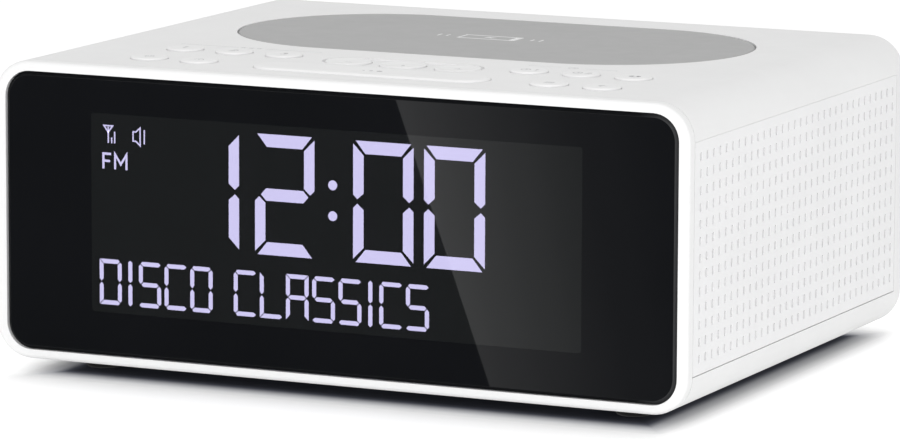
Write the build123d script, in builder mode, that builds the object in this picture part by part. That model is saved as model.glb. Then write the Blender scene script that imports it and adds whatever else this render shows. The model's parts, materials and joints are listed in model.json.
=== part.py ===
from build123d import *
import os

# Clock radio with a wireless charging top. Millimetres, +Z up, X along the front, front facing -Y.
# The origin is under the middle of the radio, at the level that its feet stand on.

# -------- driving dimensions
WIDTH = 200.0
DEPTH = 154.0
BODY_HEIGHT = 80.0
FOOT_HEIGHT = 4.0
CORNER = 10.0
WALL = 3.0
SEAM = 0.25
REAR_ROUND = 1.5

BEZEL_DEPTH = 3.6
BEZEL_ROUND = 1.3
LIP_LENGTH = 6.4
LIP_WALL = 1.5
LIP_FIT = 0.2
LEDGE_THICK = 1.2

LENS_X = 0.35
LENS_WIDTH = 193.4
LENS_HEIGHT = 74.6
LENS_CORNER = 7.0
LENS_THICK = 2.8
LENS_BEVEL = 1.0
LENS_FIT = 0.15

WINDOW_WIDTH = 145.6
WINDOW_HEIGHT = 54.4
WINDOW_RISE = 0.8
LCD_WIDTH = 150.0
LCD_HEIGHT = 56.6
LCD_GLASS_THICK = 2.0
LCD_FRAME_DEPTH = 6.6
LCD_FRAME_WALL = 3.5
LCD_FRAME_LIP = 0.7
LCD_CLEARANCE = 0.2
BACKLIGHT_THICK = 3.5
DISPLAY_BOARD_LENGTH = 184.0
DISPLAY_BOARD_HEIGHT = 62.0

GRILLE_LENGTH = 143.6
GRILLE_HEIGHT = 60.0
GRILLE_THICK = 0.6
GRILLE_GAP_ABOVE = 0.06
GRILLE_GAP_BELOW = 0.25
SLOT_COLUMNS = 33
SLOT_ROWS = 13
SLOT_PITCH_Y = 4.27
SLOT_PITCH_Z = 4.33
SLOT_LENGTH = 2.4
SLOT_WIDTH = 1.2
SLOT_SHIFT_Y = 0.5

PAD_LENGTH = 147.6
PAD_WIDTH = 79.0
PAD_THICK = 1.6
PAD_X = 1.1
PAD_BACKSET = 98.5
PAD_EDGE = 0.5

BUTTON_RISE = 0.6
BUTTON_TRAVEL = 0.5
BUTTON_GAP = 0.15
BUTTON_ROUND = 0.4
SMALL_RADIUS = 5.0
SMALL_PITCH = 14.85
SMALL_FIRST = 35.85
CENTRE_RADIUS = 6.25
CENTRE_PITCH = 16.0
DISH_RADIUS = 4.8
DISH_DEPTH = 0.4
TROUGH_DEPTH = 0.5
TROUGH_MARGIN = 0.8
SNOOZE_LENGTH = 67.4
SNOOZE_WIDTH = 13.4
SNOOZE_ROUND = 0.8
CLUSTER_X = 2.0
BACK_ROW = 40.0
CENTRE_ROW = 38.5
FRONT_ROW = 19.5
SNOOZE_ROW = 19.2
CAP_WALL = 1.2
FLANGE_THICK = 1.0
FLANGE_WIDTH = 1.0
FLANGE_GAP = 0.3
STEM_RADIUS = 1.8

SWITCH_SIZE = 6.0
SWITCH_HEIGHT = 3.5
PLUNGER_RADIUS = 1.75
PLUNGER_LENGTH = 3.4
PLUNGER_SHOWING = 1.7
PLUNGER_EDGE = 0.2
KEY_BOARD_LENGTH = 156.0
KEY_BOARD_WIDTH = 39.0
KEY_BOARD_BACKSET = 33.5
BOARD_THICK = 1.6
BOARD_CORNER = 2.0
MAIN_BOARD_LENGTH = 120.0
MAIN_BOARD_WIDTH = 104.0
MAIN_BOARD_Y = 14.0
TUNER_LENGTH = 34.0
TUNER_WIDTH = 26.0
TUNER_HEIGHT = 3.6
TUNER_PLACE = (30.0, 20.0)

COIL_RADIUS = 25.0
COIL_EYE = 10.0
COIL_THICK = 1.2
FERRITE_SIZE = 53.0
FERRITE_THICK = 0.8
CHARGE_BOARD_LENGTH = 76.0
CHARGE_BOARD_WIDTH = 72.0

SPEAKER_RADIUS = 31.0
SPEAKER_MOUTH = 26.2
SPEAKER_SCREW_CIRCLE = 28.6
SPEAKER_RING = 3.0
SPEAKER_Y = 14.0

COVER_WIDTH = 140.0
COVER_LENGTH = 124.0
COVER_THICK = 2.0
COVER_LEDGE = 4.0
COVER_GAP = 0.2
COVER_CORNER = 5.0
VENT_LENGTH = 34.0
VENT_WIDTH = 2.0
VENT_PITCH = 5.0
VENT_COUNT = 9
VENT_SPACING = 60.0

PANEL_WIDTH = 124.0
PANEL_HEIGHT = 30.0
PANEL_THICK = 2.0
PANEL_LEDGE = 4.0
PANEL_CORNER = 3.0

FOOT_RADIUS = 4.8
FOOT_X = 77.5
FOOT_SETBACK = 19.0
FOOT_SOCKET = 1.0
FOOT_EDGE = 0.8

HEAD_RADIUS = 2.2
HEAD_HEIGHT = 0.9
SHANK_RADIUS = 1.0
CLEAR_RADIUS = 1.2
PILOT_RADIUS = 1.05
POST_RADIUS = 3.0
BOSS_RADIUS = 4.0
BOSS_LENGTH = 7.0

# -------- levels worked out from them
FRONT = -DEPTH / 2
BACK = DEPTH / 2
BASE = FOOT_HEIGHT
TOP = BASE + BODY_HEIGHT
MID_Z = BASE + BODY_HEIGHT / 2
BEZEL_BACK = FRONT + BEZEL_DEPTH
SHELL_FRONT = BEZEL_BACK + SEAM
LENS_BACK = FRONT + LENS_THICK
LEDGE_BACK = LENS_BACK + LEDGE_THICK
LIP_BACK = BEZEL_BACK + LIP_LENGTH
WINDOW_Z = MID_Z + WINDOW_RISE
LCD_FRAME_FRONT = LENS_BACK + 0.1
LCD_FRAME_BACK = LCD_FRAME_FRONT + LCD_FRAME_DEPTH
LCD_FRONT = LCD_FRAME_FRONT + LCD_FRAME_LIP
DECK_UNDER = TOP - WALL
FLANGE_TOP = DECK_UNDER - FLANGE_GAP
FLANGE_UNDER = FLANGE_TOP - FLANGE_THICK
KEY_BOARD_TOP = 70.0
SWITCH_TOP = KEY_BOARD_TOP + SWITCH_HEIGHT
PLUNGER_TOP = SWITCH_TOP + PLUNGER_SHOWING
MAIN_BOARD_TOP = 15.6
CHARGE_BOARD_TOP = 75.0
PAD_Y = FRONT + PAD_BACKSET
PANEL_Z = 26.0
SPEAKER_FACE = WIDTH / 2 - WALL - SPEAKER_RING
GRILLE_Y = SHELL_FRONT + GRILLE_LENGTH / 2
BEZEL_LIP_WIDTH = WIDTH - 2 * WALL - 2 * LIP_FIT
BEZEL_LIP_HEIGHT = BODY_HEIGHT - 2 * WALL - 2 * LIP_FIT
BEZEL_LIP_CORNER = CORNER - WALL - LIP_FIT

LEFT = -1
RIGHT = 1


def facing_front(y, z=MID_Z):
    """An upright plane at y, seen from the front: X to the right, Z up, normal towards -Y."""
    return Plane(origin=(0, y, z), x_dir=(1, 0, 0), z_dir=(0, -1, 0))


def small_button_place(side, column, row):
    """Where a small button stands: the columns count outwards from the middle group."""
    return (CLUSTER_X + side * (SMALL_FIRST + column * SMALL_PITCH), FRONT + row)


SMALL_BUTTONS = {
    "preset_1_button": small_button_place(LEFT, 2, BACK_ROW),
    "preset_2_button": small_button_place(LEFT, 1, BACK_ROW),
    "preset_3_button": small_button_place(LEFT, 0, BACK_ROW),
    "power_button": small_button_place(LEFT, 2, FRONT_ROW),
    "mode_button": small_button_place(LEFT, 1, FRONT_ROW),
    "alarm_1_button": small_button_place(RIGHT, 0, BACK_ROW),
    "alarm_2_button": small_button_place(RIGHT, 1, BACK_ROW),
    "sleep_button": small_button_place(RIGHT, 2, BACK_ROW),
    "menu_button": small_button_place(RIGHT, 1, FRONT_ROW),
    "back_button": small_button_place(RIGHT, 2, FRONT_ROW),
}
CENTRE_BUTTONS = {
    "down_button": (CLUSTER_X - CENTRE_PITCH, FRONT + CENTRE_ROW),
    "select_button": (CLUSTER_X, FRONT + CENTRE_ROW),
    "up_button": (CLUSTER_X + CENTRE_PITCH, FRONT + CENTRE_ROW),
}
SNOOZE_PLACE = (CLUSTER_X, FRONT + SNOOZE_ROW)
KEY_PLACES = {**SMALL_BUTTONS, **CENTRE_BUTTONS, "snooze_bar": SNOOZE_PLACE}

KEY_POST_PLACES = [(74.0, 30.0), (43.0, 30.0), (20.0, 50.0)]
KEY_POSTS = [(CLUSTER_X + side * x, FRONT + y) for side in (LEFT, RIGHT) for x, y in KEY_POST_PLACES]
CHARGE_POSTS = [(PAD_X + side * 34.0, PAD_Y + y) for side in (LEFT, RIGHT) for y in (-32.0, 32.0)]
MAIN_POSTS = [(side * 54.0, y) for side in (LEFT, RIGHT) for y in (-28.0, 50.0)]
COVER_SCREWS = [(x, side * (COVER_LENGTH / 2 - 5)) for side in (LEFT, RIGHT) for x in (-64.0, 0.0, 64.0)]
PANEL_SCREWS = [(side * (PANEL_WIDTH / 2 - 5), up * 10.0) for side in (LEFT, RIGHT) for up in (-1, 1)]
DISPLAY_POSTS = [(side * 87.5, up * 26.0) for side in (LEFT, RIGHT) for up in (-1, 1)]
FEET = [(side * FOOT_X, end * (DEPTH / 2 - FOOT_SETBACK)) for side in (LEFT, RIGHT) for end in (-1, 1)]

JACK_X = -34.0
JACK_WIDTH = 9.4
JACK_HEIGHT = 11.0
USB_X = 6.0
USB_WIDTH = 13.1
USB_HEIGHT = 5.8
SOCKET_LENGTH = 14.0
SOCKET_BACK = BACK - 0.5
GROMMET_X = 44.0
GROMMET_RADIUS = 4.0


def screw(seat, length):
    """A cross-head screw: its head rests on the plane and its shank runs along the plane's normal."""
    with BuildSketch(seat) as head:
        Circle(HEAD_RADIUS)
    extrude(head.sketch, amount=-HEAD_HEIGHT)
    with BuildSketch(seat) as shank:
        Circle(SHANK_RADIUS)
    extrude(shank.sketch, amount=length)
    with BuildSketch(seat.offset(-HEAD_HEIGHT)) as cross:
        Rectangle(2.6, 0.6)
        Rectangle(0.6, 2.6)
    extrude(cross.sketch, amount=0.5, mode=Mode.SUBTRACT)


def speaker_seat(side):
    """The plane of a speaker's front, with its normal pointing inwards, away from the side grille."""
    return Plane(origin=(side * SPEAKER_FACE, SPEAKER_Y, MID_Z), x_dir=(0, 1, 0), z_dir=(-side, 0, 0))


def speaker_screw_places():
    return PolarLocations(SPEAKER_SCREW_CIRCLE, 4, start_angle=45)


os.makedirs("parts", exist_ok=True)

# -------- front bezel: the ring round the lens
with BuildPart() as front_bezel:
    with BuildSketch(facing_front(BEZEL_BACK)):
        RectangleRounded(WIDTH, BODY_HEIGHT, CORNER)
    extrude(amount=BEZEL_DEPTH)
    fillet(front_bezel.faces().sort_by(Axis.Y)[0].edges(), radius=BEZEL_ROUND)
    with BuildSketch(facing_front(LIP_BACK)):
        RectangleRounded(BEZEL_LIP_WIDTH, BEZEL_LIP_HEIGHT, BEZEL_LIP_CORNER)
    extrude(amount=LIP_LENGTH)
    with BuildSketch(facing_front(LENS_BACK)):
        with Locations((LENS_X, 0)):
            RectangleRounded(LENS_WIDTH + 2 * LENS_FIT, LENS_HEIGHT + 2 * LENS_FIT, LENS_CORNER + LENS_FIT)
    extrude(amount=LENS_BACK - FRONT, mode=Mode.SUBTRACT)
    with BuildSketch(facing_front(LIP_BACK)):
        RectangleRounded(
            BEZEL_LIP_WIDTH - 2 * LIP_WALL,
            BEZEL_LIP_HEIGHT - 2 * LIP_WALL,
            BEZEL_LIP_CORNER - LIP_WALL,
        )
    extrude(amount=LIP_BACK - LEDGE_BACK, mode=Mode.SUBTRACT)
    with BuildSketch(facing_front(LEDGE_BACK, WINDOW_Z)):
        RectangleRounded(LCD_WIDTH + 8, LCD_HEIGHT + 6, 2)
    extrude(amount=LEDGE_THICK, mode=Mode.SUBTRACT)
    with BuildSketch(facing_front(LCD_FRAME_BACK)):
        with Locations(*DISPLAY_POSTS):
            Circle(POST_RADIUS)
    extrude(amount=LCD_FRAME_BACK - LEDGE_BACK)
    with BuildSketch(facing_front(LCD_FRAME_BACK)):
        with Locations(*DISPLAY_POSTS):
            Circle(PILOT_RADIUS)
    extrude(amount=LCD_FRAME_BACK - LEDGE_BACK - 0.4, mode=Mode.SUBTRACT)
front_bezel.part.label = "front_bezel"
export_step(front_bezel.part, "parts/front_bezel.step")

# -------- front lens: smoked acrylic, bevelled all round
with BuildPart() as front_lens:
    with BuildSketch(facing_front(LENS_BACK)):
        with Locations((LENS_X, 0)):
            RectangleRounded(LENS_WIDTH, LENS_HEIGHT, LENS_CORNER)
    extrude(amount=LENS_THICK)
    chamfer(front_lens.faces().sort_by(Axis.Y)[0].edges(), length=LENS_BEVEL)
front_lens.part.label = "front_lens"
export_step(front_lens.part, "parts/front_lens.step")

# -------- housing: top, sides, bottom and back in one shell
with BuildPart() as housing:
    with BuildSketch(facing_front(BACK)):
        RectangleRounded(WIDTH, BODY_HEIGHT, CORNER)
    extrude(amount=BACK - SHELL_FRONT)
    fillet(housing.faces().sort_by(Axis.Y)[-1].edges(), radius=REAR_ROUND)
    with BuildSketch(facing_front(BACK - WALL)):
        RectangleRounded(WIDTH - 2 * WALL, BODY_HEIGHT - 2 * WALL, CORNER - WALL)
    extrude(amount=BACK - WALL - SHELL_FRONT, mode=Mode.SUBTRACT)

    # Sides: a pocket for each grille plate, open to the front, and a mouth and a ring for each speaker.
    pocket_height = GRILLE_HEIGHT + GRILLE_GAP_ABOVE + GRILLE_GAP_BELOW
    pocket_z = MID_Z + (GRILLE_GAP_ABOVE - GRILLE_GAP_BELOW) / 2
    with Locations(*[(side * WIDTH / 2, GRILLE_Y, pocket_z) for side in (LEFT, RIGHT)]):
        Box(2 * (GRILLE_THICK + 0.1), GRILLE_LENGTH + 2 * SEAM, pocket_height, mode=Mode.SUBTRACT)
    for side in (LEFT, RIGHT):
        with BuildSketch(speaker_seat(side)):
            Circle(SPEAKER_RADIUS + 1)
        extrude(amount=-SPEAKER_RING)
        with BuildSketch(speaker_seat(side)):
            Circle(SPEAKER_MOUTH)
            with speaker_screw_places():
                Circle(PILOT_RADIUS)
        extrude(amount=-SPEAKER_RING - 1, mode=Mode.SUBTRACT)
        with BuildSketch(speaker_seat(side)):
            Circle(SPEAKER_MOUTH - 1.2)
        extrude(amount=-SPEAKER_RING - WALL, mode=Mode.SUBTRACT)

    # Top: the bed of the charging pad, the trough of the middle buttons and a hole for each button.
    with BuildSketch(Plane.XY.offset(TOP)):
        with Locations((PAD_X, PAD_Y)):
            SlotOverall(PAD_LENGTH + 2 * SEAM, PAD_WIDTH + 2 * SEAM)
    extrude(amount=-PAD_THICK, mode=Mode.SUBTRACT)
    with BuildSketch(Plane.XY.offset(TOP)):
        with Locations(CENTRE_BUTTONS["select_button"]):
            SlotOverall(
                2 * (CENTRE_PITCH + CENTRE_RADIUS + TROUGH_MARGIN),
                2 * (CENTRE_RADIUS + TROUGH_MARGIN),
            )
    extrude(amount=-TROUGH_DEPTH, mode=Mode.SUBTRACT)
    with BuildSketch(Plane.XY.offset(TOP)):
        with Locations(*SMALL_BUTTONS.values()):
            Circle(SMALL_RADIUS + BUTTON_GAP)
        with Locations(*CENTRE_BUTTONS.values()):
            Circle(CENTRE_RADIUS + BUTTON_GAP)
        with Locations(SNOOZE_PLACE):
            SlotOverall(SNOOZE_LENGTH + 2 * BUTTON_GAP, SNOOZE_WIDTH + 2 * BUTTON_GAP)
    extrude(amount=-WALL, mode=Mode.SUBTRACT)

    # Posts under the top for the key board and the charging board.
    for posts, level in ((KEY_POSTS, KEY_BOARD_TOP), (CHARGE_POSTS, CHARGE_BOARD_TOP)):
        with BuildSketch(Plane.XY.offset(level)):
            with Locations(*posts):
                Circle(POST_RADIUS)
        extrude(amount=DECK_UNDER - level)
        with BuildSketch(Plane.XY.offset(level)):
            with Locations(*posts):
                Circle(PILOT_RADIUS)
        extrude(amount=DECK_UNDER - level - 0.5, mode=Mode.SUBTRACT)

    # Bottom: a stepped opening for the base cover, with screw bosses, and a socket for each foot.
    with BuildSketch(Plane.XY.offset(BASE)):
        RectangleRounded(COVER_WIDTH - 2 * COVER_LEDGE, COVER_LENGTH - 2 * COVER_LEDGE, COVER_CORNER)
    extrude(amount=WALL, mode=Mode.SUBTRACT)
    with BuildSketch(Plane.XY.offset(BASE + COVER_THICK)):
        with Locations(*COVER_SCREWS):
            Circle(BOSS_RADIUS)
    extrude(amount=BOSS_LENGTH + 1)
    with BuildSketch(Plane.XY.offset(BASE)):
        RectangleRounded(COVER_WIDTH, COVER_LENGTH, COVER_CORNER)
    extrude(amount=COVER_THICK, mode=Mode.SUBTRACT)
    with BuildSketch(Plane.XY.offset(BASE)):
        with Locations(*COVER_SCREWS):
            Circle(PILOT_RADIUS)
    extrude(amount=COVER_THICK + BOSS_LENGTH, mode=Mode.SUBTRACT)
    with BuildSketch(Plane.XY.offset(BASE)):
        with Locations(*FEET):
            Circle(FOOT_RADIUS + 0.1)
    extrude(amount=FOOT_SOCKET, mode=Mode.SUBTRACT)

    # Back: a stepped opening for the connector panel, with four screw bosses.
    with BuildSketch(facing_front(BACK - PANEL_THICK, PANEL_Z)):
        with Locations(*PANEL_SCREWS):
            Circle(BOSS_RADIUS)
    extrude(amount=BOSS_LENGTH)
    with BuildSketch(facing_front(BACK, PANEL_Z)):
        RectangleRounded(PANEL_WIDTH + 2 * COVER_GAP, PANEL_HEIGHT + 2 * COVER_GAP, PANEL_CORNER)
    extrude(amount=PANEL_THICK, mode=Mode.SUBTRACT)
    with BuildSketch(facing_front(BACK, PANEL_Z)):
        RectangleRounded(PANEL_WIDTH - 4 * PANEL_LEDGE, PANEL_HEIGHT - 2 * PANEL_LEDGE, PANEL_CORNER - 1)
        with Locations(*PANEL_SCREWS):
            Circle(PILOT_RADIUS)
    extrude(amount=PANEL_THICK + BOSS_LENGTH - 1, mode=Mode.SUBTRACT)
housing.part.label = "housing"
export_step(housing.part, "parts/housing.step")

# -------- base cover with vents and main board posts
with BuildPart() as base_cover:
    with BuildSketch(Plane.XY.offset(BASE)):
        RectangleRounded(COVER_WIDTH - 2 * COVER_GAP, COVER_LENGTH - 2 * COVER_GAP, COVER_CORNER - COVER_GAP)
        with GridLocations(VENT_SPACING, 0, 2, 1):
            with GridLocations(0, VENT_PITCH, 1, VENT_COUNT):
                SlotOverall(VENT_LENGTH, VENT_WIDTH, mode=Mode.SUBTRACT)
    extrude(amount=COVER_THICK - 0.05)
    with BuildSketch(Plane.XY.offset(BASE + 1)):
        with Locations(*MAIN_POSTS):
            Circle(POST_RADIUS)
    extrude(amount=MAIN_BOARD_TOP - BOARD_THICK - BASE - 1)
    with BuildSketch(Plane.XY.offset(MAIN_BOARD_TOP)):
        with Locations(*MAIN_POSTS):
            Circle(PILOT_RADIUS)
    extrude(amount=-9, mode=Mode.SUBTRACT)
    with Locations(*[(x, y, BASE) for x, y in COVER_SCREWS]):
        with Locations(Rotation(180, 0, 0)):
            CounterBoreHole(CLEAR_RADIUS, HEAD_RADIUS + 0.2, HEAD_HEIGHT + 0.1, depth=COVER_THICK)
base_cover.part.label = "base_cover"
export_step(base_cover.part, "parts/base_cover.step")

# -------- connector panel in the back
with BuildPart() as rear_panel:
    with BuildSketch(facing_front(BACK - PANEL_THICK, PANEL_Z)):
        RectangleRounded(PANEL_WIDTH, PANEL_HEIGHT, PANEL_CORNER - COVER_GAP)
        with Locations((JACK_X, MAIN_BOARD_TOP + JACK_HEIGHT / 2 - PANEL_Z)):
            Rectangle(JACK_WIDTH + 0.6, JACK_HEIGHT + 0.6, mode=Mode.SUBTRACT)
        with Locations((USB_X, MAIN_BOARD_TOP + USB_HEIGHT / 2 - PANEL_Z)):
            Rectangle(USB_WIDTH + 0.6, USB_HEIGHT + 0.6, mode=Mode.SUBTRACT)
        with Locations((GROMMET_X, 0)):
            Circle(GROMMET_RADIUS - 1, mode=Mode.SUBTRACT)
    extrude(amount=-PANEL_THICK)
    with Locations(*[(x, BACK, PANEL_Z + z) for x, z in PANEL_SCREWS]):
        with Locations(Rotation(-90, 0, 0)):
            CounterBoreHole(CLEAR_RADIUS, HEAD_RADIUS + 0.2, HEAD_HEIGHT + 0.1, depth=PANEL_THICK)
rear_panel.part.label = "rear_panel"
export_step(rear_panel.part, "parts/rear_panel.step")

# -------- side grilles: slotted plates, flush with the sides
for side, name in ((LEFT, "grille_left"), (RIGHT, "grille_right")):
    with BuildPart() as grille:
        with BuildSketch(Plane.YZ.offset(side * WIDTH / 2)):
            with Locations((GRILLE_Y, MID_Z)):
                Rectangle(GRILLE_LENGTH, GRILLE_HEIGHT)
            with Locations((GRILLE_Y + SLOT_SHIFT_Y, MID_Z)):
                with GridLocations(SLOT_PITCH_Y, SLOT_PITCH_Z, SLOT_COLUMNS, SLOT_ROWS):
                    SlotOverall(SLOT_LENGTH, SLOT_WIDTH, rotation=90, mode=Mode.SUBTRACT)
        extrude(amount=-side * GRILLE_THICK)
    grille.part.label = name
    export_step(grille.part, f"parts/{name}.step")

# -------- charging pad: a soft-touch plate flush with the top
with BuildPart() as charging_pad:
    with BuildSketch(Plane.XY.offset(TOP)):
        with Locations((PAD_X, PAD_Y)):
            SlotOverall(PAD_LENGTH, PAD_WIDTH)
    extrude(amount=-PAD_THICK)
    chamfer(charging_pad.faces().sort_by(Axis.Z)[-1].edges(), length=PAD_EDGE)
charging_pad.part.label = "charging_pad"
export_step(charging_pad.part, "parts/charging_pad.step")

# -------- button caps: hollow, with a retaining flange and a stem
for name, (x, y) in {**SMALL_BUTTONS, **CENTRE_BUTTONS}.items():
    dished = name in CENTRE_BUTTONS
    radius = CENTRE_RADIUS if dished else SMALL_RADIUS
    cap_top = TOP + BUTTON_RISE - (TROUGH_DEPTH if dished else 0)
    with BuildPart() as button:
        with BuildSketch(Plane.XY.offset(FLANGE_UNDER)):
            with Locations((x, y)):
                Circle(radius)
        extrude(amount=cap_top - FLANGE_UNDER)
        fillet(button.faces().sort_by(Axis.Z)[-1].edges(), radius=BUTTON_ROUND)
        if dished:
            dish_ball = (DISH_RADIUS**2 + DISH_DEPTH**2) / (2 * DISH_DEPTH)
            with Locations((x, y, cap_top + dish_ball - DISH_DEPTH)):
                Sphere(dish_ball, mode=Mode.SUBTRACT)
        with BuildSketch(Plane.XY.offset(FLANGE_UNDER)):
            with Locations((x, y)):
                Circle(radius + FLANGE_WIDTH)
        extrude(amount=FLANGE_THICK)
        with BuildSketch(Plane.XY.offset(FLANGE_UNDER)):
            with Locations((x, y)):
                Circle(radius - CAP_WALL)
        extrude(amount=cap_top - CAP_WALL - FLANGE_UNDER, mode=Mode.SUBTRACT)
        with BuildSketch(Plane.XY.offset(PLUNGER_TOP)):
            with Locations((x, y)):
                Circle(STEM_RADIUS)
        extrude(amount=cap_top - CAP_WALL - PLUNGER_TOP)
    button.part.label = name
    export_step(button.part, f"parts/{name}.step")

with BuildPart() as snooze_bar:
    with BuildSketch(Plane.XY.offset(FLANGE_UNDER)):
        with Locations(SNOOZE_PLACE):
            SlotOverall(SNOOZE_LENGTH, SNOOZE_WIDTH)
    extrude(amount=TOP + BUTTON_RISE - FLANGE_UNDER)
    fillet(snooze_bar.faces().sort_by(Axis.Z)[-1].edges(), radius=SNOOZE_ROUND)
    with BuildSketch(Plane.XY.offset(FLANGE_UNDER)):
        with Locations(SNOOZE_PLACE):
            SlotOverall(SNOOZE_LENGTH + 2 * FLANGE_WIDTH, SNOOZE_WIDTH + 2 * FLANGE_WIDTH)
    extrude(amount=FLANGE_THICK)
    with BuildSketch(Plane.XY.offset(FLANGE_UNDER)):
        with Locations(SNOOZE_PLACE):
            SlotOverall(SNOOZE_LENGTH - 2 * CAP_WALL, SNOOZE_WIDTH - 2 * CAP_WALL)
    extrude(amount=TOP + BUTTON_RISE - CAP_WALL - FLANGE_UNDER, mode=Mode.SUBTRACT)
    with BuildSketch(Plane.XY.offset(PLUNGER_TOP)):
        with Locations(SNOOZE_PLACE):
            Circle(STEM_RADIUS)
    extrude(amount=TOP + BUTTON_RISE - CAP_WALL - PLUNGER_TOP)
snooze_bar.part.label = "snooze_bar"
export_step(snooze_bar.part, "parts/snooze_bar.step")

# -------- switch plungers, one under each cap
for name, place in KEY_PLACES.items():
    plunger_name = name.replace("_button", "").replace("_bar", "") + "_plunger"
    with BuildPart() as plunger:
        with BuildSketch(Plane.XY.offset(PLUNGER_TOP)):
            with Locations(place):
                Circle(PLUNGER_RADIUS)
        extrude(amount=-PLUNGER_LENGTH)
        chamfer(plunger.faces().sort_by(Axis.Z)[0].edges(), length=PLUNGER_EDGE)
    plunger.part.label = plunger_name
    export_step(plunger.part, f"parts/{plunger_name}.step")

# -------- key board and its fourteen switch bodies
with BuildPart() as key_board:
    with BuildSketch(Plane.XY.offset(KEY_BOARD_TOP)):
        with Locations((CLUSTER_X, FRONT + KEY_BOARD_BACKSET)):
            RectangleRounded(KEY_BOARD_LENGTH, KEY_BOARD_WIDTH, BOARD_CORNER)
        with Locations(*KEY_POSTS):
            Circle(CLEAR_RADIUS, mode=Mode.SUBTRACT)
    extrude(amount=-BOARD_THICK)
key_board.part.label = "key_board"
export_step(key_board.part, "parts/key_board.step")

with BuildPart() as tact_switches:
    with BuildSketch(Plane.XY.offset(KEY_BOARD_TOP)):
        with Locations(*KEY_PLACES.values()):
            Rectangle(SWITCH_SIZE, SWITCH_SIZE)
    extrude(amount=SWITCH_HEIGHT)
    with BuildSketch(Plane.XY.offset(SWITCH_TOP)):
        with Locations(*KEY_PLACES.values()):
            Circle(PLUNGER_RADIUS + BUTTON_GAP)
    extrude(amount=-(PLUNGER_LENGTH - PLUNGER_SHOWING + BUTTON_TRAVEL + 0.4), mode=Mode.SUBTRACT)
tact_switches.part.label = "tact_switches"
export_step(tact_switches.part, "parts/tact_switches.step")

# -------- display: frame, glass, backlight and board
with BuildPart() as lcd_frame:
    with BuildSketch(facing_front(LCD_FRAME_BACK, WINDOW_Z)):
        RectangleRounded(LCD_WIDTH + 2 * LCD_FRAME_WALL, LCD_HEIGHT + LCD_FRAME_WALL + 1.5, 1.5)
    extrude(amount=LCD_FRAME_DEPTH)
    with BuildSketch(facing_front(LCD_FRAME_BACK, WINDOW_Z)):
        Rectangle(LCD_WIDTH + 2 * LCD_CLEARANCE, LCD_HEIGHT + 2 * LCD_CLEARANCE)
    extrude(amount=LCD_FRAME_BACK - LCD_FRONT, mode=Mode.SUBTRACT)
    with BuildSketch(facing_front(LCD_FRAME_BACK, WINDOW_Z)):
        RectangleRounded(WINDOW_WIDTH, WINDOW_HEIGHT, 1)
    extrude(amount=LCD_FRAME_DEPTH, mode=Mode.SUBTRACT)
lcd_frame.part.label = "lcd_frame"
export_step(lcd_frame.part, "parts/lcd_frame.step")

with BuildPart() as lcd_glass:
    with BuildSketch(facing_front(LCD_FRONT + LCD_GLASS_THICK, WINDOW_Z)):
        Rectangle(LCD_WIDTH, LCD_HEIGHT)
    extrude(amount=LCD_GLASS_THICK)
    chamfer(lcd_glass.faces().sort_by(Axis.Y)[0].edges(), length=0.2)
lcd_glass.part.label = "lcd_glass"
export_step(lcd_glass.part, "parts/lcd_glass.step")

with BuildPart() as lcd_backlight:
    with BuildSketch(facing_front(LCD_FRAME_BACK - 0.1, WINDOW_Z)):
        Rectangle(LCD_WIDTH, LCD_HEIGHT)
    extrude(amount=BACKLIGHT_THICK)
    fillet(lcd_backlight.edges().filter_by(Axis.Y), radius=1)
lcd_backlight.part.label = "lcd_backlight"
export_step(lcd_backlight.part, "parts/lcd_backlight.step")

with BuildPart() as display_board:
    with BuildSketch(facing_front(LCD_FRAME_BACK + BOARD_THICK)):
        RectangleRounded(DISPLAY_BOARD_LENGTH, DISPLAY_BOARD_HEIGHT, BOARD_CORNER)
        with Locations(*DISPLAY_POSTS):
            Circle(CLEAR_RADIUS, mode=Mode.SUBTRACT)
    extrude(amount=BOARD_THICK)
display_board.part.label = "display_board"
export_step(display_board.part, "parts/display_board.step")

# -------- main board, tuner can and rear sockets
with BuildPart() as main_board:
    with BuildSketch(Plane.XY.offset(MAIN_BOARD_TOP)):
        with Locations((0, MAIN_BOARD_Y)):
            RectangleRounded(MAIN_BOARD_LENGTH, MAIN_BOARD_WIDTH, BOARD_CORNER)
        with Locations(*MAIN_POSTS):
            Circle(CLEAR_RADIUS, mode=Mode.SUBTRACT)
    extrude(amount=-BOARD_THICK)
main_board.part.label = "main_board"
export_step(main_board.part, "parts/main_board.step")

with BuildPart() as tuner_module:
    with BuildSketch(Plane.XY.offset(MAIN_BOARD_TOP)):
        with Locations(TUNER_PLACE):
            RectangleRounded(TUNER_LENGTH, TUNER_WIDTH, 1)
    extrude(amount=TUNER_HEIGHT)
    fillet(tuner_module.faces().sort_by(Axis.Z)[-1].edges(), radius=0.5)
tuner_module.part.label = "tuner_module"
export_step(tuner_module.part, "parts/tuner_module.step")

with BuildPart() as dc_jack:
    with BuildSketch(facing_front(SOCKET_BACK, MAIN_BOARD_TOP + JACK_HEIGHT / 2)):
        with Locations((JACK_X, 0)):
            Rectangle(JACK_WIDTH, JACK_HEIGHT)
    extrude(amount=SOCKET_LENGTH)
    with BuildSketch(facing_front(SOCKET_BACK, MAIN_BOARD_TOP + JACK_HEIGHT / 2)):
        with Locations((JACK_X, 0)):
            Circle(3.2)
            Circle(1.0, mode=Mode.SUBTRACT)
    extrude(amount=10, mode=Mode.SUBTRACT)
dc_jack.part.label = "dc_jack"
export_step(dc_jack.part, "parts/dc_jack.step")

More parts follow.
